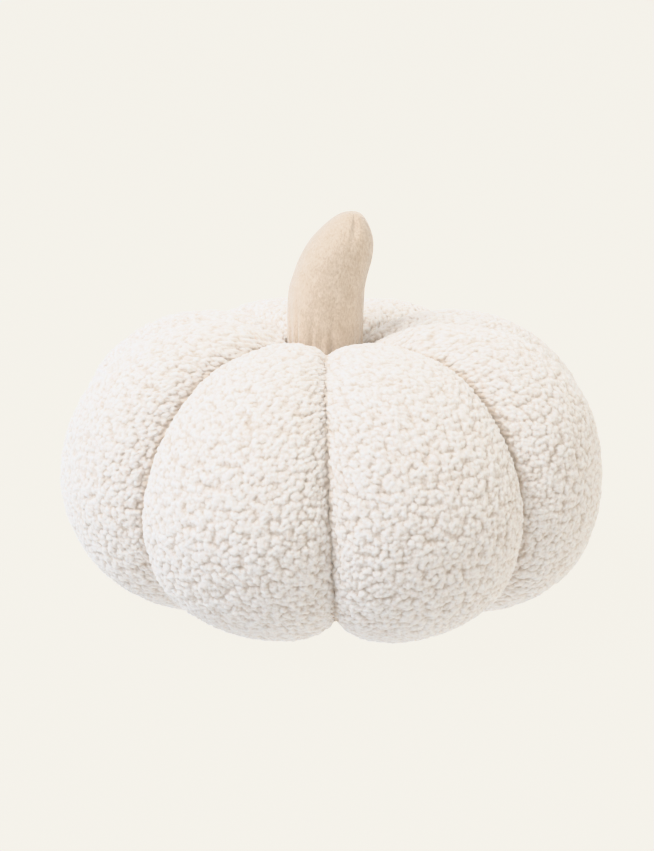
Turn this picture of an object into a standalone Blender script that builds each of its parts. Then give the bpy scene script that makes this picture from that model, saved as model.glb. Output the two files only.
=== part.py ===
"""Pumpkin-shaped cushion: a filled body of eight sewn segments with a stuffed stem.

Metres, +Z up. The cushion rests on z = 0 and its bounding box is centred on the Z axis.
Azimuths are degrees from the front (-Y), positive towards +X.
"""

import math

import bmesh
import bpy
from mathutils import Vector

COLLECTION = "pumpkin_cushion"

# Driving dimensions
BODY_RADIUS = 0.150
SETTLE = 0.0015  # how far the filled segments flatten on the surface
STEM_GAP = 0.0003  # between the stem's foot and its seat
BULGE_POWER = 2.2  # shape of a segment's section: 2 is round, more is squarer

# Reach and rise, below, grow from nothing to their whole value between these crest radii, as shares
# of BODY_RADIUS, so that every segment meets the stem's seat alike.
UNEVEN_FROM = 0.15
UNEVEN_WHOLE = 0.45

# Mesh density
STEPS_PER_SEGMENT = 10
STEPS_PER_ROW = 3
STEM_SIDES = 24
STEM_STEPS_PER_ROW = 2

# Half sections of the body from the stem's seat down to the middle of the underside, as shares of
# BODY_RADIUS: one along a segment's crest, one along the seam between two segments. The last two
# columns say where a segment's extra shoulder and hip lie.
PROFILE = (
    # station, crest radius, crest height, seam radius, seam height, shoulder share, hip share
    ("seat centre", 0.000, 0.833, 0.000, 0.833, 0.00, 0.00),
    ("seat", 0.075, 0.833, 0.075, 0.833, 0.00, 0.00),
    ("seat edge", 0.150, 0.833, 0.150, 0.833, 0.00, 0.00),
    ("throat", 0.178, 0.905, 0.180, 0.887, 0.00, 0.00),
    ("inner shoulder", 0.240, 0.985, 0.250, 0.938, 0.00, 0.00),
    ("crown", 0.440, 1.032, 0.410, 0.960, 0.15, 0.00),
    ("outer shoulder", 0.695, 0.966, 0.620, 0.900, 0.75, 0.00),
    ("upper side", 0.908, 0.770, 0.790, 0.730, 1.00, 0.00),
    ("widest", 1.000, 0.505, 0.870, 0.505, 0.30, 0.20),
    ("lower side", 0.932, 0.246, 0.815, 0.270, 0.00, 1.00),
    ("foot edge", 0.750, 0.075, 0.655, 0.150, 0.00, 0.75),
    ("foot", 0.505, 0.000, 0.440, 0.100, 0.00, 0.10),
    ("tuck", 0.260, 0.030, 0.240, 0.085, 0.00, 0.00),
    ("underside centre", 0.000, 0.095, 0.000, 0.095, 0.00, 0.00),
)

# Way that an extra shoulder or hip stands out from the crest, per metre of it
SHOULDER_OUT = 0.75
SHOULDER_UP = 0.65
HIP_OUT = 0.80
HIP_UP = -0.50

# One row for each segment, counter-clockwise from the front. The seam is the one on the segment's
# clockwise side: top and foot lean are how far it wanders off its azimuth at either end. Reach and
# rise scale the crest's radius and its height above the widest level. Shoulder and hip are extra
# fullness above and below that level, in metres.
SEGMENTS = (
    # name, seam azimuth, top lean, foot lean, reach, rise, shoulder, hip
    ("front right", 0.0, -9.0, 3.0, 1.000, 1.000, 0.0000, 0.0015),
    ("right front", 46.5, 3.0, -1.0, 1.001, 1.045, 0.0070, 0.0040),
    ("right back", 91.5, -2.0, 2.0, 1.040, 1.010, 0.0045, 0.0000),
    ("back right", 134.0, 4.0, -2.0, 1.002, 1.004, 0.0025, 0.0000),
    ("back left", 181.0, -5.0, 1.0, 0.996, 1.010, 0.0025, 0.0000),
    ("left back", 226.0, 2.0, 3.0, 1.007, 1.000, 0.0075, 0.0000),
    ("left front", 269.0, -3.0, -2.0, 1.018, 1.068, 0.0030, -0.0010),
    ("front left", 313.0, 4.0, 1.0, 1.000, 1.000, 0.0000, -0.0010),
)

# The stem from its foot on the seat to its tip. Heights are above the seat, in metres.
STEM = (
    # height, centre x, centre y, radius
    (0.0000, -0.0020, 0.0000, 0.0000),
    (0.0000, -0.0020, 0.0000, 0.0095),
    (0.0000, -0.0020, 0.0000, 0.0180),
    (0.0050, -0.0024, 0.0000, 0.0203),
    (0.0160, -0.0036, 0.0000, 0.0213),
    (0.0300, -0.0038, 0.0000, 0.0214),
    (0.0420, -0.0034, 0.0001, 0.0212),
    (0.0500, -0.0028, 0.0003, 0.0209),
    (0.0580, -0.0008, 0.0005, 0.0204),
    (0.0665, 0.0019, 0.0008, 0.0199),
    (0.0755, 0.0049, 0.0010, 0.0176),
    (0.0820, 0.0070, 0.0010, 0.0140),
    (0.0878, 0.0088, 0.0010, 0.0093),
    (0.0910, 0.0101, 0.0010, 0.0049),
    (0.0920, 0.0108, 0.0010, 0.0000),
)

# Base colour, roughness and sheen of each fabric
BOUCLE = ("cream_boucle", (0.80, 0.755, 0.68), 0.95, 0.35)
FELT = ("beige_felt", (0.62, 0.52, 0.42), 0.90, 0.30)


def clear_scene():
    for obj in list(bpy.data.objects):
        bpy.data.objects.remove(obj, do_unlink=True)


def new_collection():
    collection = bpy.data.collections.new(COLLECTION)
    bpy.context.scene.collection.children.link(collection)
    return collection


def fabric(name, color, roughness, sheen):
    material = bpy.data.materials.new(name)
    material.use_nodes = True
    shader = material.node_tree.nodes["Principled BSDF"]
    shader.inputs["Base Color"].default_value = (*color, 1.0)
    shader.inputs["Roughness"].default_value = roughness
    shader.inputs["Metallic"].default_value = 0.0
    shader.inputs["Sheen Weight"].default_value = sheen
    return material


def smooth_row(rows, place):
    """Reads a table's columns at a fractional row number, along a Catmull-Rom curve."""
    last = len(rows) - 1
    index = min(int(place), last - 1)
    t = place - index
    before = rows[max(index - 1, 0)]
    start = rows[index]
    end = rows[index + 1]
    after = rows[min(index + 2, last)]
    values = []
    for a, b, c, d in zip(before, start, end, after):
        slope_in = (c - a) / 2
        slope_out = (d - b) / 2
        value = b * (1 + 2 * t) * (1 - t) ** 2 + c * t * t * (3 - 2 * t)
        value += slope_in * t * (1 - t) ** 2 + slope_out * t * t * (t - 1)
        values.append(value)
    return values


def seam_azimuth(index, place):
    """Azimuth in degrees of a seam at a row of the profile. Full turns are kept."""
    turns, row = divmod(index, len(SEGMENTS))
    azimuth, top_lean, foot_lean = SEGMENTS[row][1:4]
    down = place / (len(PROFILE) - 1)
    wander = top_lean * (1 - down) ** 2 + foot_lean * down**2
    return azimuth + 360 * turns + wander


def body_point(around, place):
    """Point of the body. `around` counts segments from the front seam, `place` counts profile rows."""
    index = int(around) % len(SEGMENTS)
    across = math.sin(math.pi * (around % 1 - 0.5))
    start = seam_azimuth(index, place)
    end = seam_azimuth(index + 1, place)
    azimuth = math.radians((start + end) / 2 + across * (end - start) / 2)
    fullness = math.sqrt(max(0.0, 1 - abs(across) ** BULGE_POWER))

    reach, rise, shoulder, hip = SEGMENTS[index][4:]
    rows = [row[1:] for row in PROFILE]
    crest_radius, crest_height, seam_radius, seam_height, at_shoulder, at_hip = smooth_row(rows, place)
    shoulder *= at_shoulder / BODY_RADIUS
    hip *= at_hip / BODY_RADIUS
    widest = next(row[2] for row in PROFILE if row[0] == "widest")
    share = (crest_radius - UNEVEN_FROM) / (UNEVEN_WHOLE - UNEVEN_FROM)
    share = min(1.0, max(0.0, share))
    crest_radius *= 1 + (reach - 1) * share
    crest_radius += SHOULDER_OUT * shoulder + HIP_OUT * hip
    crest_height += max(0.0, crest_height - widest) * (rise - 1) * share
    crest_height += SHOULDER_UP * shoulder + HIP_UP * hip

    radius = BODY_RADIUS * (seam_radius + (crest_radius - seam_radius) * fullness)
    height = BODY_RADIUS * (seam_height + (crest_height - seam_height) * fullness)
    height = max(0.0, height - SETTLE)
    return Vector((radius * math.sin(azimuth), -radius * math.cos(azimuth), height))


def shaped_sphere(name, sides, rows, place_point, material, collection):
    """A UV sphere whose points are moved by `place_point(turn, ring)`. Ring 0 is the top pole."""
    mesh = bpy.data.meshes.new(name)
    grid = bmesh.new()
    bmesh.ops.create_uvsphere(grid, u_segments=sides, v_segments=rows, radius=1.0)
    for vertex in grid.verts:
        x, y, z = vertex.co
        polar_angle = math.acos(max(-1.0, min(1.0, z)))
        ring = round(polar_angle / math.pi * rows)
        turn = round(math.atan2(x, -y) / math.tau * sides) % sides
        vertex.co = place_point(turn, ring)
    bmesh.ops.recalc_face_normals(grid, faces=grid.faces)
    grid.to_mesh(mesh)
    grid.free()
    mesh.shade_smooth()
    mesh.materials.append(material)
    obj = bpy.data.objects.new(name, mesh)
    collection.objects.link(obj)
    return obj


def make_body(collection):
    sides = STEPS_PER_SEGMENT * len(SEGMENTS)
    rings = STEPS_PER_ROW * (len(PROFILE) - 1)

    def place_point(turn, ring):
        return body_point(turn / STEPS_PER_SEGMENT, ring / STEPS_PER_ROW)

    return shaped_sphere("body", sides, rings, place_point, fabric(*BOUCLE), collection)


def make_stem(collection):
    seat = PROFILE[0][2] * BODY_RADIUS - SETTLE + STEM_GAP
    rings = STEM_STEPS_PER_ROW * (len(STEM) - 1)

    def place_point(turn, ring):
        place = (rings - ring) / STEM_STEPS_PER_ROW
        height, center_x, center_y, radius = smooth_row(STEM, place)
        azimuth = math.tau * turn / STEM_SIDES
        x = center_x + radius * math.sin(azimuth)
        y = center_y - radius * math.cos(azimuth)
        return Vector((x, y, seat + max(0.0, height)))

    return shaped_sphere("stem", STEM_SIDES, rings, place_point, fabric(*FELT), collection)


def center_on_axis(objects):
    """Moves the meshes so that their common bounding box is centred on the Z axis."""
    corners = [vertex.co for obj in objects for vertex in obj.data.vertices]
    middle_x = (min(c.x for c in corners) + max(c.x for c in corners)) / 2
    middle_y = (min(c.y for c in corners) + max(c.y for c in corners)) / 2
    for corner in corners:
        corner.x -= middle_x
        corner.y -= middle_y


def main():
    clear_scene()
    collection = new_collection()
    body = make_body(collection)
    stem = make_stem(collection)
    center_on_axis([body, stem])


main()
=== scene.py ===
"""Looks of the pumpkin-shaped cushion: curly pile on eight filled gores, and a brushed felt stem.

Metres, +Z up. A point of a gore is found by `along`, which runs from 0 to 1 between its two seams, and
`place`, a fractional row of PROFILE from the stem's seat down to the middle of the underside.
"""

import math

import bpy
import numpy as np
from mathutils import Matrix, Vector


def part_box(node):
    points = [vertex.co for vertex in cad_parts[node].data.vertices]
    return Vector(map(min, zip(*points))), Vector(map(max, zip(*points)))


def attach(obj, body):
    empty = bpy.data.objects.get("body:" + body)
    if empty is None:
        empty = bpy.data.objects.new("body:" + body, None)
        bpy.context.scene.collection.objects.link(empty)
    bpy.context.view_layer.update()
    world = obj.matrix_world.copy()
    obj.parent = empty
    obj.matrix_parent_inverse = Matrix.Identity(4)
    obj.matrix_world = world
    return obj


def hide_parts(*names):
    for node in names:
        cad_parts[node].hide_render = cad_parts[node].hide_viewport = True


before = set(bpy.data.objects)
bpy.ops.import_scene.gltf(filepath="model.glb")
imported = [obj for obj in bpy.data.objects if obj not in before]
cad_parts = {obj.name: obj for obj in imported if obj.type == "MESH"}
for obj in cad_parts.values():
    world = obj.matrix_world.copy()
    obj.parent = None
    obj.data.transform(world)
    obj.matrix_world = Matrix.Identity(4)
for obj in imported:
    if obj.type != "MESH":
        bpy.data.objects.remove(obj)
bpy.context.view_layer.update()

MM = 0.001
TINY = 1e-9  # keeps a division by a length defined

# Driving dimensions of the body, as in its solid
BODY_RADIUS = 150 * MM
SETTLE = 1.5 * MM
BULGE_POWER = 2.2
UNEVEN_FROM = 0.15
UNEVEN_WHOLE = 0.45

# Half sections of the body from the stem's seat down to the middle of the underside, as shares of
# BODY_RADIUS: one along a gore's crest, one along the seam between two gores. The last two columns say
# where a gore's extra shoulder and hip lie.
PROFILE = (
    # crest radius, crest height, seam radius, seam height, shoulder share, hip share
    (0.000, 0.833, 0.000, 0.833, 0.00, 0.00),
    (0.075, 0.833, 0.075, 0.833, 0.00, 0.00),
    (0.150, 0.833, 0.150, 0.833, 0.00, 0.00),
    (0.178, 0.905, 0.180, 0.887, 0.00, 0.00),
    (0.240, 0.985, 0.250, 0.938, 0.00, 0.00),
    (0.440, 1.032, 0.410, 0.960, 0.15, 0.00),
    (0.695, 0.966, 0.620, 0.900, 0.75, 0.00),
    (0.908, 0.770, 0.790, 0.730, 1.00, 0.00),
    (1.000, 0.505, 0.870, 0.505, 0.30, 0.20),
    (0.932, 0.246, 0.815, 0.270, 0.00, 1.00),
    (0.750, 0.075, 0.655, 0.150, 0.00, 0.75),
    (0.505, 0.000, 0.440, 0.100, 0.00, 0.10),
    (0.260, 0.030, 0.240, 0.085, 0.00, 0.00),
    (0.000, 0.095, 0.000, 0.095, 0.00, 0.00),
)
WIDEST_HEIGHT = 0.505
ROWS = len(PROFILE) - 1
END_ROWS = 3  # at either end of the profile the filling doesn't move the cloth
CREST = 0.5  # `along` halfway between a gore's seams
SHOULDER_OUT, SHOULDER_UP = 0.75, 0.65
HIP_OUT, HIP_UP = 0.80, -0.50

# One row for each gore, counter-clockwise from the front. The seam is the one on its clockwise side.
# Shoulder and hip are in metres.
GORES = (
    # name, seam azimuth, top lean, foot lean, reach, rise, shoulder, hip
    ("front_right", 0.0, -9.0, 3.0, 1.000, 1.000, 0.0000, 0.0015),
    ("right_front", 46.5, 3.0, -1.0, 1.001, 1.045, 0.0070, 0.0040),
    ("right_back", 91.5, -2.0, 2.0, 1.040, 1.010, 0.0045, 0.0000),
    ("back_right", 134.0, 4.0, -2.0, 1.002, 1.004, 0.0025, 0.0000),
    ("back_left", 181.0, -5.0, 1.0, 0.996, 1.010, 0.0025, 0.0000),
    ("left_back", 226.0, 2.0, 3.0, 1.007, 1.000, 0.0075, 0.0000),
    ("left_front", 269.0, -3.0, -2.0, 1.018, 1.068, 0.0030, -0.0010),
    ("front_left", 313.0, 4.0, 1.0, 1.000, 1.000, 0.0000, -0.0010),
)
COUNT = len(GORES)

# The stem from its foot on the seat to its tip, as in its solid. Heights are above the seat.
STEM = (
    # height, centre x, centre y, radius, in millimetres
    (0.0, -2.0, 0.0, 0.0),
    (0.0, -2.0, 0.0, 9.5),
    (0.0, -2.0, 0.0, 18.0),
    (5.0, -2.4, 0.0, 20.3),
    (16.0, -3.6, 0.0, 21.3),
    (30.0, -3.8, 0.0, 21.4),
    (42.0, -3.4, 0.1, 21.2),
    (50.0, -2.8, 0.3, 20.9),
    (58.0, -0.8, 0.5, 20.4),
    (66.5, 1.9, 0.8, 19.9),
    (75.5, 4.9, 1.0, 17.6),
    (82.0, 7.0, 1.0, 14.0),
    (87.8, 8.8, 1.0, 9.3),
    (91.0, 10.1, 1.0, 4.9),
    (92.0, 10.8, 1.0, 0.0),
)
STEM_HEIGHT = STEM[-1][0] * MM
STEM_IN_THROAT = STEM[4]  # the row at the height where the gores close round the stem
STEM_SIDES = 256
STEM_STEPS_PER_ROW = 10
STEM_SEED = 7

# Folds pinched into the stem's foot. They fan out and fade above the level where the gores let go of it.
# Pairs are the least and the most that is drawn, lengths and depths in millimetres.
FOLD_COUNT = 40
FOLD_START = 14 * MM
FOLD_WIDTH = (2.0, 4.0)  # degrees
FOLD_LENGTH = (8, 30)
FOLD_DEPTH = (0.5, 1.2)
FOLD_LEAN = 0.2 / (30 * MM)  # radians for each metre up the stem

# Soft dents and bumps of the stem's filling
DENT_COUNT = 10
DENT_LEVEL = (0.25, 0.95)  # shares of the stem's height
DENT_WIDTH = (0.35, 0.8)  # radians
DENT_LENGTH = (6, 16)
DENT_DEPTH = (-0.35, 0.45)

# The crease below the stem's tip
CREASE_AZIMUTH = math.radians(23)
CREASE_WIDTH = 0.17  # radians
CREASE_LEVEL = 84 * MM
CREASE_LENGTH = 7 * MM
CREASE_DEPTH = 1.8 * MM

# The cage that the filling blows up, and the settings of its cloth
CAGE_STEPS_PER_GORE = 12
CAGE_STEPS_PER_ROW = 5
FILLING_FRAMES = 20
FILLING = {
    "quality": 6,
    "mass": 0.2,
    "tension_stiffness": 12,
    "compression_stiffness": 12,
    "shear_stiffness": 4,
    "bending_stiffness": 0.4,
    "shrink_min": -0.03,
    "use_pressure": True,
    "uniform_pressure_force": 4.0,
}
SWELL_CAP = 4 * MM

# The gores' meshes
GRID = 0.84 * MM  # distance between the points of a gore's cloth
FINE_STEPS = 2000  # for measuring a crest
WIDTH_STEPS = 25  # for measuring a row
AXIS_POINTS = 12  # that carry a gore's inner walls

# The upper ends of the gores lean in towards the stem, most at one place on the profile.
THROAT_PULL = 8 * MM
THROAT_PLACE = 3.4
THROAT_REACH = 1.9  # rows up and down from there

# The seams
SEAM_OVERLAP = 1.1 * MM  # the gores' edges press this far into each other
SEAM_FADE = 5.0 * MM  # over this distance from a seam the curls sink to their usual level
SEAM_SHADE_WIDTH = 2.1 * MM  # over this distance to the sides of a seam its painted shade fades
SEAM_RAGGED = 0.7  # how unevenly the curls sink and the painted shade fades along a seam
SEAM_RAGGED_SIZE = 5 * MM
SEAM_FROM = 3.4  # above this place on the profile the seams have neither painted shade nor waves
SEAM_WAVES_GROW = 2  # rows from there to the waves' whole swing
SEAM_WAVES = (
    # length, swing
    (11.0 * MM, 0.45 * MM),
    (6.7 * MM, 0.35 * MM),
    (4.1 * MM, 0.25 * MM),
)
SEAM_PHASE = 2.1  # sets each seam's waves apart from the next one's

# The pile: small loops make up curls, and curls lie in clumps. Most of its height lies below the
# surface of the solid.
PILE_HEIGHT = 2.7 * MM
PILE_SUNK = 0.80  # share of the height
PILE_SUNK_AT_SEAM = 0.28
PILE = (
    # size, drift, share of the height, share of the tone that masks the painted shade in the crevices
    (8.5 * MM, 1.8 * MM, 0.26, 0.17),
    (3.6 * MM, 0.8 * MM, 0.51, 0.47),
    (1.8 * MM, 0.6 * MM, 0.23, 0.36),
)
HEAD_SCATTER = 0.9  # how irregularly the heads of the curls lie
HEAD_STEEPNESS = 1.9
HEAD_DROP = 1.6
HEAD_TOP, HEAD_TOP_SPREAD = 0.86, 0.16

# Colours and finish of the pile, with shade painted into its crevices and along its seams
CREAM = (0.93, 0.91, 0.895)
WARM_CREAM = (0.935, 0.905, 0.875)
CREAM_PATCH = 14 * MM
PAINTED_SHADE = (0.71, 0.63, 0.55)  # painted shade in the crevices between curls and along the seams
SHADE_RAMP_FROM, SHADE_RAMP_TO = 0.66, 1.52  # tones at which the painted crevice shade ends and the plain cream begins
SEAM_SHADED_TO, SEAM_UNSHADED_FROM = 0.1, 0.8  # the same for the painted shade along a seam, by the shares that grow away from it
FIBRE = 1.0 * MM
# how much the fibres break up the painted shade in the crevices
FIBRE_IN_SHADE = 1.3
FIBRE_RELIEF = 0.5
PILE_BUMP = {"Strength": 0.35, "Distance": 1.6 * MM}
BOUCLE_FINISH = {
    "Roughness": 0.95,
    "Specular IOR Level": 0.1,
    "Subsurface Weight": 0.9,
    "Subsurface Radius": (1.0, 0.95, 0.9),
    "Subsurface Scale": 1.6 * MM,
    "Sheen Weight": 0.85,
    "Sheen Roughness": 0.5,
    "Sheen Tint": (1.0, 0.99, 0.98, 1),
}

# Colours and finish of the stem's felt
FELT_DARK = (0.635, 0.52, 0.405)
FELT_LIGHT = (0.835, 0.73, 0.625)
NAP = 0.9 * MM
NAP_DRIFT_SIZE, NAP_DRIFT = 3 * MM, 0.8 * MM
NAP_DRAWN = (1.0, 1.0, 0.45)  # the nap is longer up the stem than round it
MOTTLE = 6 * MM
MOTTLE_SHARE = 0.2
FELT_DARK_TO, FELT_LIGHT_FROM = 0.3, 0.7
FELT_BUMP = {"Strength": 0.9, "Distance": 0.6 * MM}
FELT_FINISH = {
    "Roughness": 0.9,
    "Specular IOR Level": 0.1,
    "Sheen Weight": 0.9,
    "Sheen Roughness": 0.45,
    "Sheen Tint": (0.97, 0.98, 1.0, 1),
}

# Floor, lights and sky
FLOOR_REACH = 30
FLOOR_GLOW = (1.115, 1.085, 1.005, 1)
FLOOR_MATTE = (0.07, 0.068, 0.064, 1)
LIGHTS_AIM = (0, 0, 0.09)
LIGHTS = (
    # name, place, size, power in watts, colour
    ("key", (-1.25, -0.75, 1.85), 1.6, 36, (0.99, 0.985, 1.0)),
    ("fill", (1.9, -0.4, 0.3), 1.6, 6, (1.0, 0.93, 0.82)),
)
SKY_LEFT = (0.95, 0.985, 1.05)
SKY_RIGHT = (1.05, 0.985, 0.89)
SKY_STRENGTH = 0.915
SKY_STRONGER_BEHIND = 0.34
SKY_STRONGER_BELOW = 0.66

# The camera stands at a distance and elevation from one point and looks at another.
CAMERA_ELEVATION = math.radians(16.5)
CAMERA_DISTANCE = 0.95
CAMERA_CENTER = Vector((0, 0, 0.08))
CAMERA_AIM = Vector((-0.0037, 0, 0.095))
CAMERA_SENSOR = 36
CAMERA_LENS = 71.2


# Tables and curves


def taps(place, count, around=False):
    """Row numbers and weights of the four table rows that a smooth curve takes at each fractional place."""
    last = count if around else count - 1
    index = np.clip(np.floor(place).astype(int), 0, last - 1)
    t = place - index
    rows = index[..., None] + np.arange(-1, 3)
    rows = rows % count if around else np.clip(rows, 0, last)
    weights = np.stack(
        (
            -0.5 * t * (1 - t) ** 2,
            1 + t * t * (1.5 * t - 2.5),
            0.5 * t * (1 + t * (4 - 3 * t)),
            -0.5 * t * t * (1 - t),
        ),
        axis=-1,
    )
    return rows, weights


def smooth_rows(table, place):
    """Reads a table's columns at fractional row numbers."""
    rows, weights = taps(np.asarray(place, float), len(table))
    return (np.asarray(table, float)[rows] * weights[..., None]).sum(axis=-2)


def smooth_grid(grid, around, place):
    """Reads a field on the cage, which closes on itself around, at fractional gores and rows."""
    turns, drops = grid.shape[:2]
    turn_rows, turn_weights = taps((around * CAGE_STEPS_PER_GORE) % turns, turns, True)
    drop_rows, drop_weights = taps(place * CAGE_STEPS_PER_ROW, drops)
    values = np.zeros(np.shape(around) + grid.shape[2:])
    for i in range(4):
        for j in range(4):
            weight = (turn_weights[..., i] * drop_weights[..., j])[..., None]
            values += weight * grid[turn_rows[..., i], drop_rows[..., j]]
    return values


def bell(value, width):
    """1 where the value is 0, fading to nothing over about twice the width."""
    return np.exp(-((value / width) ** 2))


# The body's form


def seam_azimuth(index, place):
    """Azimuth in degrees of a seam at a place on the profile. Full turns are kept."""
    turns, row = np.divmod(index, COUNT)
    columns = np.array([gore[1:4] for gore in GORES])[row]
    down = place / ROWS
    return columns[..., 0] + 360 * turns + columns[..., 1] * (1 - down) ** 2 + columns[..., 2] * down**2


def body_points(gore, along, place):
    """Points of the smooth body."""
    across = np.sin(math.pi * (along - CREST))
    start = seam_azimuth(gore, place)
    end = seam_azimuth(gore + 1, place)
    azimuth = np.radians((start + end) / 2 + across * (end - start) / 2)
    fullness = np.sqrt(np.maximum(0.0, 1 - np.abs(across) ** BULGE_POWER))

    columns = np.moveaxis(smooth_rows(PROFILE, place), -1, 0)
    crest_radius, crest_height, seam_radius, seam_height, at_shoulder, at_hip = columns
    reach, rise, shoulder, hip = np.moveaxis(np.array([row[4:] for row in GORES])[gore % COUNT], -1, 0)
    shoulder = shoulder * at_shoulder / BODY_RADIUS
    hip = hip * at_hip / BODY_RADIUS
    share = np.clip((crest_radius - UNEVEN_FROM) / (UNEVEN_WHOLE - UNEVEN_FROM), 0, 1)
    crest_radius = crest_radius * (1 + (reach - 1) * share) + SHOULDER_OUT * shoulder + HIP_OUT * hip
    crest_height = crest_height + np.maximum(0, crest_height - WIDEST_HEIGHT) * (rise - 1) * share
    crest_height = crest_height + SHOULDER_UP * shoulder + HIP_UP * hip

    radius = BODY_RADIUS * (seam_radius + (crest_radius - seam_radius) * fullness)
    height = BODY_RADIUS * (seam_height + (crest_height - seam_height) * fullness) - SETTLE
    return np.stack((radius * np.sin(azimuth), -radius * np.cos(azimuth), np.maximum(height, 0)), axis=-1)


def cage_points():
    turns = np.arange(COUNT * CAGE_STEPS_PER_GORE)
    drops = np.arange(ROWS * CAGE_STEPS_PER_ROW + 1)
    turn, drop = np.meshgrid(turns, drops, indexing="ij")
    gore, step = np.divmod(turn, CAGE_STEPS_PER_GORE)
    return body_points(gore, step / CAGE_STEPS_PER_GORE, drop / CAGE_STEPS_PER_ROW)


def axis_place(cage):
    """Where the body's own axis stands in the frame, found from the box of its solid."""
    low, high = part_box("body")
    points = cage.reshape(-1, 3)
    middle = (points.min(axis=0) + points.max(axis=0)) / 2
    return np.array(((low[0] + high[0]) / 2 - middle[0], (low[1] + high[1]) / 2 - middle[1], 0.0))


# Meshes


def new_mesh_object(name, points, faces):
    mesh = bpy.data.meshes.new(name)
    mesh.from_pydata(np.asarray(points).tolist(), [], faces)
    mesh.update()
    obj = bpy.data.objects.new(name, mesh)
    bpy.context.scene.collection.objects.link(obj)
    return obj


def point_array(mesh):
    values = np.empty(len(mesh.vertices) * 3, dtype=np.float32)
    mesh.vertices.foreach_get("co", values)
    return values.reshape(-1, 3).astype(float)


def set_points(mesh, points):
    mesh.vertices.foreach_set("co", np.asarray(points, dtype=np.float32).ravel())
    mesh.update()


def store(mesh, name, kind, values):
    """Keeps a value for each point of the mesh under a name that its nodes can read."""
    field = "vector" if kind == "FLOAT_VECTOR" else "value"
    mesh.attributes.new(name, kind, "POINT").data.foreach_set(field, values.astype(np.float32).ravel())


def settled_mesh(obj, name):
    """A copy of the object's mesh with its modifiers applied."""
    graph = bpy.context.evaluated_depsgraph_get()
    graph.update()
    mesh = bpy.data.meshes.new_from_object(obj.evaluated_get(graph))
    mesh.name = name
    return mesh


def stitch(first, second):
    """Triangles between two rows of point numbers that may differ in count."""
    faces = []
    i = j = 0
    while i < len(first) - 1 or j < len(second) - 1:
        next_i = (i + 1) / max(1, len(first) - 1)
        next_j = (j + 1) / max(1, len(second) - 1)
        if j == len(second) - 1 or (i < len(first) - 1 and next_i <= next_j):
            faces.append((first[i], second[j], first[i + 1]))
            i += 1
        else:
            faces.append((first[i], second[j], second[j + 1]))
            j += 1
    return faces


# The filling


def held_points(turns, drops):
    """Which points of the cage don't move: those on the seams and at its two ends."""
    step = np.arange(turns) % CAGE_STEPS_PER_GORE
    from_seam = np.minimum(step, CAGE_STEPS_PER_GORE - step)[:, None] + np.zeros(drops)
    row = np.arange(drops)[None, :] / CAGE_STEPS_PER_ROW + np.zeros(turns)[:, None]
    return (from_seam == 0) | (row < END_ROWS) | (row > ROWS - END_ROWS)


def filled_swell(cage):
    """Blows up the cage as cloth, held at its seams, and returns how far each point moves."""
    turns, drops = cage.shape[:2]
    number = np.arange(turns * drops).reshape(turns, drops)
    here, there = number, np.roll(number, -1, axis=0)
    quads = np.stack((here[:, :-1], here[:, 1:], there[:, 1:], there[:, :-1]), axis=-1).reshape(-1, 4)
    obj = new_mesh_object("cage", cage.reshape(-1, 3), quads.tolist())
    pinned = obj.vertex_groups.new(name="seams")
    pinned.add(number[held_points(turns, drops)].ravel().tolist(), 1.0, "REPLACE")

    cloth = obj.modifiers.new("Filling", "CLOTH")
    for key, value in FILLING.items():
        setattr(cloth.settings, key, value)
    cloth.settings.vertex_group_mass = pinned.name
    cloth.settings.effector_weights.gravity = 0.0
    cloth.point_cache.frame_start = 1
    cloth.point_cache.frame_end = FILLING_FRAMES
    for number_of_frame in range(1, FILLING_FRAMES + 1):
        bpy.context.scene.frame_set(number_of_frame)
    mesh = settled_mesh(obj, "cage_filled")
    moved = point_array(mesh) - cage.reshape(-1, 3)
    bpy.context.scene.frame_set(1)
    bpy.data.objects.remove(obj, do_unlink=True)
    bpy.data.meshes.remove(mesh)

    length = np.linalg.norm(moved, axis=1, keepdims=True)
    moved *= np.tanh(length / SWELL_CAP) * SWELL_CAP / np.maximum(length, TINY)
    return moved.reshape(cage.shape)


# The gores


def row_places(gore):
    """Places of a gore's rows along the profile, GRID apart on its crest."""
    fine = np.linspace(0, ROWS, FINE_STEPS)
    crest = body_points(np.full(fine.shape, gore), np.full(fine.shape, CREST), fine)
    length = np.concatenate(([0.0], np.cumsum(np.linalg.norm(np.diff(crest, axis=0), axis=1))))
    count = round(length[-1] / GRID)
    return np.interp(np.linspace(0, length[-1], count + 1), length, fine)


def width_of_row(gore, place):
    along = np.linspace(0, 1, WIDTH_STEPS)
    row = body_points(np.full(along.shape, gore), along, np.full(along.shape, place))
    return np.linalg.norm(np.diff(row, axis=0), axis=1).sum()


def cloth_rows(gore):
    """Point numbers of a gore's rows, and `along` and `place` of each point. An end row has one point."""
    places = row_places(gore)
    rows = []
    along_parts = []
    place_parts = []
    start = 0
    for place in places:
        is_end = place in (places[0], places[-1])
        count = 1 if is_end else max(2, round(width_of_row(gore, place) / GRID)) + 1
        rows.append(list(range(start, start + count)))
        start += count
        along_parts.append(np.array([CREST]) if is_end else np.linspace(0, 1, count))
        place_parts.append(np.full(count, place))
    return rows, np.concatenate(along_parts), np.concatenate(place_parts)


def closed_on_stem(points, place):
    """Draws the gores' upper ends in towards the stem."""
    center_x, center_y, radius = np.array(STEM_IN_THROAT[1:]) * MM
    spread = points[:, :2] - (center_x, center_y)
    away = np.linalg.norm(spread, axis=1)
    pull = (away - radius) * np.clip(1 - np.abs(place - THROAT_PLACE) / THROAT_REACH, 0, 1)
    pull = THROAT_PULL * np.tanh(np.maximum(pull, 0) / THROAT_PULL)
    points[:, :2] -= spread * (pull / np.maximum(away, TINY))[:, None]
    return points


def sideways_of(points):
    """Level directions of unit length round the body's axis, one for each point."""
    sideways = np.stack((-points[:, 1], points[:, 0], np.zeros(len(points))), axis=-1)
    return sideways / np.maximum(np.linalg.norm(sideways, axis=1, keepdims=True), TINY)


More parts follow.
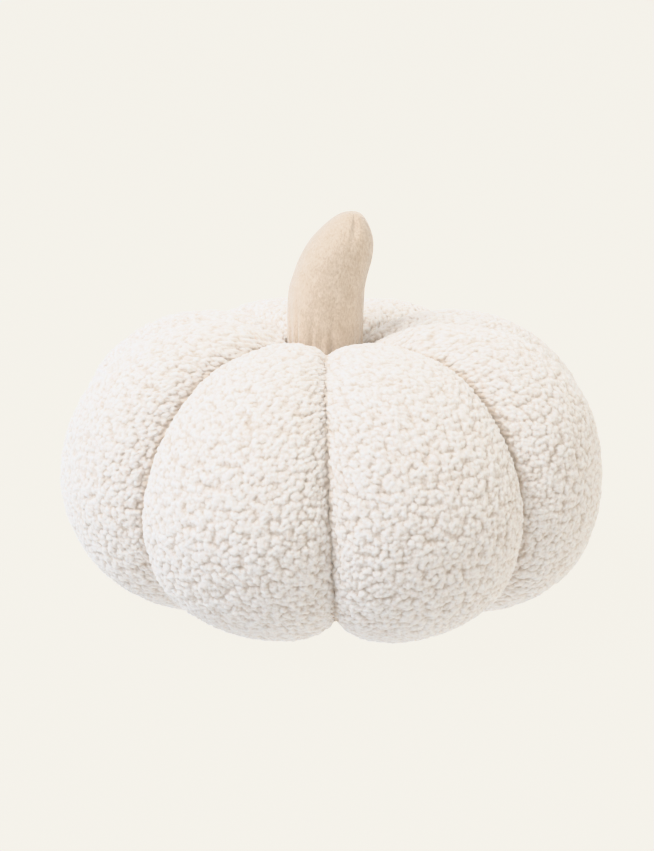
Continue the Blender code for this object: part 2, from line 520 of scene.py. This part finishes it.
def seam_wave(seam, down):
    """How far a seam strays sideways at a distance down from the top."""
    return sum(swing * np.sin(math.tau * down / length + SEAM_PHASE * seam) for length, swing in SEAM_WAVES)


def edge_shift(gore, along, place, rows, share):
    """How far points move sideways: near a seam they stray with it and press into the next gore."""
    down = np.concatenate([np.full(len(row), number * GRID) for number, row in enumerate(rows)])
    wave = seam_wave((gore + np.round(along)) % COUNT, down)
    wave *= np.clip((place - SEAM_FROM) / SEAM_WAVES_GROW, 0, 1)
    outward = SEAM_OVERLAP * np.where(along < CREST, -1, 1)
    at_ends = np.clip(place - END_ROWS, 0, 1) * np.clip(ROWS - place, 0, 1)
    return (wave + outward) * (1 - share) * at_ends


def inner_walls(points, rows):
    """Points on the axis between a gore's two ends, and the plain walls from them to its two seams."""
    top, foot = points[0], points[-1]
    inner = [top + (foot - top) * (k + 1) / (AXIS_POINTS + 1) for k in range(AXIS_POINTS)]
    start = len(points)
    axis_row = [rows[0][0], *range(start, start + AXIS_POINTS), rows[-1][0]]
    left = [row[0] for row in rows]
    right = [row[-1] for row in rows]
    faces = stitch(axis_row, left)[1:-1]
    faces += [face[::-1] for face in stitch(axis_row, right)[1:-1]]
    return inner, faces


def cloth_places(gore, points, rows):
    """Where each point lies on the flat cloth: across and down, with the gores a metre apart."""
    flat = np.zeros((len(points), 3))
    for number, row in enumerate(rows):
        steps = np.linalg.norm(np.diff(points[row], axis=0), axis=1)
        across = np.concatenate(([0.0], np.cumsum(steps)))
        flat[row, 0] = gore + across - across[-1] / 2
        flat[row, 1] = number * GRID
    return flat


def gore_object(gore, name, swell, axis):
    """One filled gore: its outer cloth as rows of points, and plain inner walls to the body's axis."""
    rows, along, place = cloth_rows(gore)
    gores = np.full(along.shape, gore)
    points = closed_on_stem(body_points(gores, along, place), place)
    points += smooth_grid(swell, gore + along, place)

    seam = closed_on_stem(body_points(gores, np.round(along), place), place)
    share = np.clip(np.linalg.norm(points - seam, axis=1) / SEAM_FADE, 0, 1)
    sideways = sideways_of(points)
    from_plane = np.abs(((points - seam) * sideways).sum(axis=1))
    # The share that fades the painted shade along a seam: 0 on the seam, 1 a short way to its side, and 1
    # everywhere above SEAM_FROM.
    tone = np.clip(np.maximum(from_plane / SEAM_SHADE_WIDTH, SEAM_FROM + 1 - place), 0, 1)
    points += edge_shift(gore, along, place, rows, share)[:, None] * sideways

    faces = []
    for first, second in zip(rows, rows[1:]):
        faces += stitch(first, second)
    inner, wall_faces = inner_walls(points, rows)
    obj = new_mesh_object(name, np.vstack((points, inner)) + axis, faces + wall_faces)
    obj.data.shade_smooth()

    flat = cloth_places(gore, points, rows)
    on_axis = np.zeros(AXIS_POINTS)
    store(obj.data, "pile_place", "FLOAT_VECTOR", np.vstack((flat, np.zeros((AXIS_POINTS, 3)))))
    store(obj.data, "pile_share", "FLOAT", np.concatenate((share, on_axis)))
    store(obj.data, "seam_shade_fade", "FLOAT", np.concatenate((tone, on_axis)))
    return obj


# Node helpers

# Sockets of a colour mix. Those for other kinds of values share their names, so numbers tell them apart.
MIX_FACTOR, MIX_LOW, MIX_HIGH = 0, 6, 7
MIX_RESULT = 2


def add(tree, kind, inputs=None, **settings):
    """A node with its settings and inputs. An input is a value or another node's output."""
    node = tree.nodes.new(kind)
    for key, value in settings.items():
        setattr(node, key, value)
    for key, value in (inputs or {}).items():
        if isinstance(value, bpy.types.NodeSocket):
            tree.links.new(value, node.inputs[key])
        else:
            node.inputs[key].default_value = value
    return node


def maths(tree, operation, a, b=0.0, c=0.0, clamp=False):
    return add(tree, "ShaderNodeMath", {0: a, 1: b, 2: c}, operation=operation, use_clamp=clamp).outputs[0]


def vector_maths(tree, operation, a, b):
    key = "Scale" if operation == "SCALE" else 1
    return add(tree, "ShaderNodeVectorMath", {0: a, key: b}, operation=operation).outputs["Vector"]


def ramp_to(tree, value, low, high):
    """0 below `low`, 1 above `high`, smooth between."""
    limits = {"Value": value, "From Min": low, "From Max": high}
    return add(tree, "ShaderNodeMapRange", limits, interpolation_type="SMOOTHSTEP").outputs[0]


def mixed(tree, factor, low, high):
    """Mixes two colours, each three numbers or another node's output."""
    low, high = ((*color, 1) if isinstance(color, tuple) else color for color in (low, high))
    inputs = {MIX_FACTOR: factor, MIX_LOW: low, MIX_HIGH: high}
    return add(tree, "ShaderNodeMix", inputs, data_type="RGBA").outputs[MIX_RESULT]


def noise(tree, place, size, detail=2.0, roughness=0.5, output="Fac"):
    looks = {"Vector": place, "Scale": 1 / size, "Detail": detail, "Roughness": roughness}
    return add(tree, "ShaderNodeTexNoise", looks).outputs[output]


def drifted(tree, place, size, amount):
    """The place moved about by noise, up to `amount` each way."""
    spread = noise(tree, place, size, detail=1.0, output="Color")
    drift = vector_maths(tree, "SCALE", vector_maths(tree, "SUBTRACT", spread, (0.5, 0.5, 0.5)), 2 * amount)
    return vector_maths(tree, "ADD", place, drift)


def domes(tree, place, size, drift):
    """Round heads, `size` apart and of unequal height: 0 in the crevices between them, up to 1."""
    looks = {
        "Vector": drifted(tree, place, size, drift),
        "Scale": 1 / size,
        "Randomness": HEAD_SCATTER,
    }
    heads = add(tree, "ShaderNodeTexVoronoi", looks, voronoi_dimensions="2D")
    own = add(tree, "ShaderNodeSeparateXYZ", {"Vector": heads.outputs["Color"]}).outputs[0]
    steep = maths(tree, "POWER", heads.outputs["Distance"], HEAD_STEEPNESS)
    top = maths(tree, "MULTIPLY_ADD", own, HEAD_TOP_SPREAD, HEAD_TOP)
    return maths(tree, "MULTIPLY_ADD", steep, -HEAD_DROP, top, clamp=True)


def ragged(tree, share, place):
    """A share that grows with the distance from the seam, made uneven along it."""
    spread = noise(tree, place, SEAM_RAGGED_SIZE, detail=1.0)
    uneven = maths(tree, "MULTIPLY_ADD", spread, SEAM_RAGGED, share)
    return ramp_to(tree, uneven, SEAM_RAGGED / 2, 1 + SEAM_RAGGED / 2)


def pile_nodes(tree, place):
    """Height of the curly pile and its tone, the mask of the shade painted into its crevices; each from 0
    in the deepest crevices to 1.
    """
    height = tone = 0.0
    for size, drift, height_share, shade_share in PILE:
        heads = domes(tree, place, size, drift)
        height = maths(tree, "MULTIPLY_ADD", heads, height_share, height)
        tone = maths(tree, "MULTIPLY_ADD", heads, shade_share, tone)
    return height, tone


# Raising the pile


def named(tree, name, kind):
    return add(tree, "GeometryNodeInputNamedAttribute", {"Name": name}, data_type=kind).outputs[0]


def pile_tree():
    """Nodes that raise the curls from a gore's cloth."""
    tree = bpy.data.node_groups.new("curly_pile", "GeometryNodeTree")
    tree.interface.new_socket("Geometry", in_out="INPUT", socket_type="NodeSocketGeometry")
    tree.interface.new_socket("Geometry", in_out="OUTPUT", socket_type="NodeSocketGeometry")
    source = tree.nodes.new("NodeGroupInput").outputs[0]
    normal = tree.nodes.new("GeometryNodeInputNormal").outputs[0]
    place = named(tree, "pile_place", "FLOAT_VECTOR")
    share = ragged(tree, named(tree, "pile_share", "FLOAT"), place)
    level = maths(tree, "MULTIPLY_ADD", share, PILE_SUNK_AT_SEAM - PILE_SUNK, -PILE_SUNK_AT_SEAM)
    height, _ = pile_nodes(tree, place)
    rise = maths(tree, "MULTIPLY", maths(tree, "ADD", height, level), PILE_HEIGHT)
    offset = vector_maths(tree, "SCALE", normal, rise)
    moved = add(tree, "GeometryNodeSetPosition", {"Geometry": source, "Offset": offset})
    target = tree.nodes.new("NodeGroupOutput")
    tree.links.new(moved.outputs[0], target.inputs[0])
    return tree


def raise_pile(obj, tree):
    """Applies the pile's nodes to the object. Nothing goes below the surface that it rests on."""
    modifier = obj.modifiers.new("Pile", "NODES")
    modifier.node_group = tree
    mesh = settled_mesh(obj, obj.name)
    obj.modifiers.clear()
    bare = obj.data
    obj.data = mesh
    bpy.data.meshes.remove(bare)
    points = point_array(mesh)
    points[:, 2] = np.maximum(points[:, 2], 0)
    set_points(mesh, points)


# Materials


def new_material(name):
    material = bpy.data.materials.new(name)
    material.use_nodes = True
    return material, material.node_tree


def finish_shader(tree, color, relief, bump, finish):
    """Joins the nodes to the shader and sets its other inputs."""
    shader = tree.nodes["Principled BSDF"]
    normal = add(tree, "ShaderNodeBump", {"Height": relief, **bump}).outputs[0]
    tree.links.new(color, shader.inputs["Base Color"])
    tree.links.new(normal, shader.inputs["Normal"])
    for key, value in finish.items():
        shader.inputs[key].default_value = value


def attribute(tree, name, output):
    return add(tree, "ShaderNodeAttribute", attribute_name=name).outputs[output]


def boucle_material():
    material, tree = new_material("cream_boucle")
    place = attribute(tree, "pile_place", "Vector")
    # The painted shade along the seams fades with this share, unevenly along them.
    share = ragged(tree, attribute(tree, "seam_shade_fade", "Fac"), place)
    height, tone = pile_nodes(tree, place)
    # Shade is painted into the crevices: where the curls' heads and the fibres are low, the cream turns to
    # the painted shade colour.
    fibres = noise(tree, place, FIBRE, detail=4.0, roughness=0.85)
    depth = maths(tree, "MULTIPLY_ADD", fibres, FIBRE_IN_SHADE, tone)
    depth = ramp_to(tree, depth, SHADE_RAMP_FROM, SHADE_RAMP_TO)
    cream = mixed(tree, noise(tree, place, CREAM_PATCH, detail=1.0), CREAM, WARM_CREAM)
    # The painted shade of the crevices is joined by painted shade along the seams.
    light = maths(tree, "MULTIPLY", depth, ramp_to(tree, share, SEAM_SHADED_TO, SEAM_UNSHADED_FROM))
    relief = maths(tree, "MULTIPLY_ADD", fibres, FIBRE_RELIEF, height)
    finish_shader(tree, mixed(tree, light, PAINTED_SHADE, cream), relief, PILE_BUMP, BOUCLE_FINISH)
    return material


def felt_material():
    material, tree = new_material("beige_felt")
    place = add(tree, "ShaderNodeTexCoord").outputs["Object"]
    drawn = vector_maths(tree, "MULTIPLY", drifted(tree, place, NAP_DRIFT_SIZE, NAP_DRIFT), NAP_DRAWN)
    nap = noise(tree, drawn, NAP, detail=4.0, roughness=0.7)
    mottle = maths(tree, "MULTIPLY", noise(tree, place, MOTTLE), MOTTLE_SHARE)
    tone = maths(tree, "MULTIPLY_ADD", nap, 1 - MOTTLE_SHARE, mottle)
    color = mixed(tree, ramp_to(tree, tone, FELT_DARK_TO, FELT_LIGHT_FROM), FELT_DARK, FELT_LIGHT)
    finish_shader(tree, color, nap, FELT_BUMP, FELT_FINISH)
    return material


# The stem


def angle_from(center, azimuth):
    """The azimuth as an angle from the centre, at most half a turn either way."""
    return np.angle(np.exp(1j * (azimuth - center)))


def stem_relief(azimuth, height):
    """Pinched folds at the foot, soft dents of the filling and a crease below the tip."""
    random = np.random.default_rng(STEM_SEED)
    relief = np.zeros(np.broadcast_shapes(azimuth.shape, height.shape))
    up = np.maximum(0, height - FOLD_START)
    for _ in range(FOLD_COUNT):
        center = random.uniform(0, math.tau)
        width = math.radians(random.uniform(*FOLD_WIDTH))
        length = random.uniform(*FOLD_LENGTH) * MM
        depth = random.uniform(*FOLD_DEPTH) * MM
        lean = random.uniform(-FOLD_LEAN, FOLD_LEAN)
        away = angle_from(center + lean * height, azimuth)
        relief -= depth * bell(away, width * (1 + up / length)) * bell(up, length)
    for _ in range(DENT_COUNT):
        center = random.uniform(0, math.tau)
        level = random.uniform(*DENT_LEVEL) * STEM_HEIGHT
        width = random.uniform(*DENT_WIDTH)
        length = random.uniform(*DENT_LENGTH) * MM
        depth = random.uniform(*DENT_DEPTH) * MM
        relief -= depth * bell(angle_from(center, azimuth), width) * bell(height - level, length)
    crease = bell(angle_from(CREASE_AZIMUTH, azimuth), CREASE_WIDTH)
    relief -= CREASE_DEPTH * crease * bell(height - CREASE_LEVEL, CREASE_LENGTH)
    return relief


def stem_object(axis, seat):
    """The stem as rings of points between its foot and its tip."""
    ring_count = STEM_STEPS_PER_ROW * (len(STEM) - 1) - 1
    place = np.arange(1, ring_count + 1) / STEM_STEPS_PER_ROW
    table = smooth_rows(STEM, place) * MM
    height, center_x, center_y, radius = (column[:, None] for column in table.T)
    height = np.maximum(height, 0)
    azimuth = np.linspace(0, math.tau, STEM_SIDES, endpoint=False)[None, :]
    radius = radius + stem_relief(azimuth, height)
    x = center_x + radius * np.sin(azimuth)
    y = center_y - radius * np.cos(azimuth)
    rings = np.stack(np.broadcast_arrays(x, y, seat + height), axis=-1).reshape(-1, 3)
    foot = (STEM[0][1] * MM, STEM[0][2] * MM, seat)
    tip = (STEM[-1][1] * MM, STEM[-1][2] * MM, seat + STEM_HEIGHT)
    points = np.vstack((rings, foot, tip)) + axis

    faces = []
    for ring in range(ring_count - 1):
        for side in range(STEM_SIDES):
            a = ring * STEM_SIDES + side
            b = ring * STEM_SIDES + (side + 1) % STEM_SIDES
            faces.append((a, b, b + STEM_SIDES, a + STEM_SIDES))
    last = (ring_count - 1) * STEM_SIDES
    foot_number = len(rings)
    tip_number = foot_number + 1
    for side in range(STEM_SIDES):
        after = (side + 1) % STEM_SIDES
        faces.append((after, side, foot_number))
        faces.append((last + side, last + after, tip_number))
    obj = new_mesh_object("felt_stem", points, faces)
    obj.data.shade_smooth()
    return obj


# Floor, light and camera


def make_floor():
    """A pale floor that glows evenly, so that it has the background's colour."""
    corners = [(x * FLOOR_REACH, y * FLOOR_REACH, 0) for x, y in ((-1, -1), (1, -1), (1, 1), (-1, 1))]
    floor = new_mesh_object("floor", corners, [(0, 1, 2, 3)])
    material, tree = new_material("pale_floor")
    tree.nodes.clear()
    glow = add(tree, "ShaderNodeEmission", {"Color": FLOOR_GLOW, "Strength": 1.0})
    matte = add(tree, "ShaderNodeBsdfDiffuse", {"Color": FLOOR_MATTE})
    both = add(tree, "ShaderNodeAddShader", {0: glow.outputs[0], 1: matte.outputs[0]})
    add(tree, "ShaderNodeOutputMaterial", {"Surface": both.outputs[0]})
    floor.data.materials.append(material)
    floor.visible_diffuse = False


def make_lights():
    for name, place, size, power, color in LIGHTS:
        data = bpy.data.lights.new(name, "AREA")
        data.shape = "DISK"
        data.size = size
        data.energy = power
        data.color = color
        light = bpy.data.objects.new(name, data)
        light.location = place
        light.rotation_euler = (Vector(LIGHTS_AIM) - Vector(place)).to_track_quat("-Z", "Y").to_euler()
        bpy.context.scene.collection.objects.link(light)


def make_sky():
    """Light from all round: cooler from the left, stronger from behind and from below."""
    world = bpy.data.worlds.new("studio")
    world.use_nodes = True
    tree = world.node_tree
    sky = tree.nodes["Background"]
    direction = add(tree, "ShaderNodeTexCoord").outputs["Generated"]
    sideways, forward, upward = add(tree, "ShaderNodeSeparateXYZ", {"Vector": direction}).outputs
    from_left = maths(tree, "MULTIPLY_ADD", sideways, 0.5, 0.5)
    below = maths(tree, "MINIMUM", upward, 0.0)
    strength = maths(tree, "MULTIPLY_ADD", forward, SKY_STRONGER_BEHIND, SKY_STRENGTH)
    strength = maths(tree, "MULTIPLY_ADD", below, -SKY_STRONGER_BELOW, strength)
    tree.links.new(mixed(tree, from_left, SKY_LEFT, SKY_RIGHT), sky.inputs["Color"])
    tree.links.new(strength, sky.inputs["Strength"])
    bpy.context.scene.world = world


def make_camera():
    data = bpy.data.cameras.new("camera")
    data.sensor_width = CAMERA_SENSOR
    data.lens = CAMERA_LENS
    camera = bpy.data.objects.new("camera", data)
    back = Vector((0, -math.cos(CAMERA_ELEVATION), math.sin(CAMERA_ELEVATION)))
    camera.location = CAMERA_CENTER + CAMERA_DISTANCE * back
    camera.rotation_euler = (CAMERA_AIM - camera.location).to_track_quat("-Z", "Y").to_euler()
    bpy.context.scene.collection.objects.link(camera)
    bpy.context.scene.camera = camera


# Putting it together


def dress_body(material):
    """Makes the gores and returns where the body's axis stands."""
    cage = cage_points()
    axis = axis_place(cage)
    swell = filled_swell(cage)
    tree = pile_tree()
    for gore, row in enumerate(GORES):
        piece = gore_object(gore, "gore_" + row[0], swell, axis)
        raise_pile(piece, tree)
        piece.data.materials.append(material)
        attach(piece, "root")
        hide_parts("body")
    return axis


def dress_stem(axis, material):
    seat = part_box("stem")[0][2]
    piece = stem_object(axis, seat)
    piece.data.materials.append(material)
    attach(piece, "root")
    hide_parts("stem")


bpy.context.scene.view_settings.view_transform = "Khronos PBR Neutral"
make_camera()
make_floor()
make_lights()
make_sky()
body_axis = dress_body(boucle_material())
dress_stem(body_axis, felt_material())
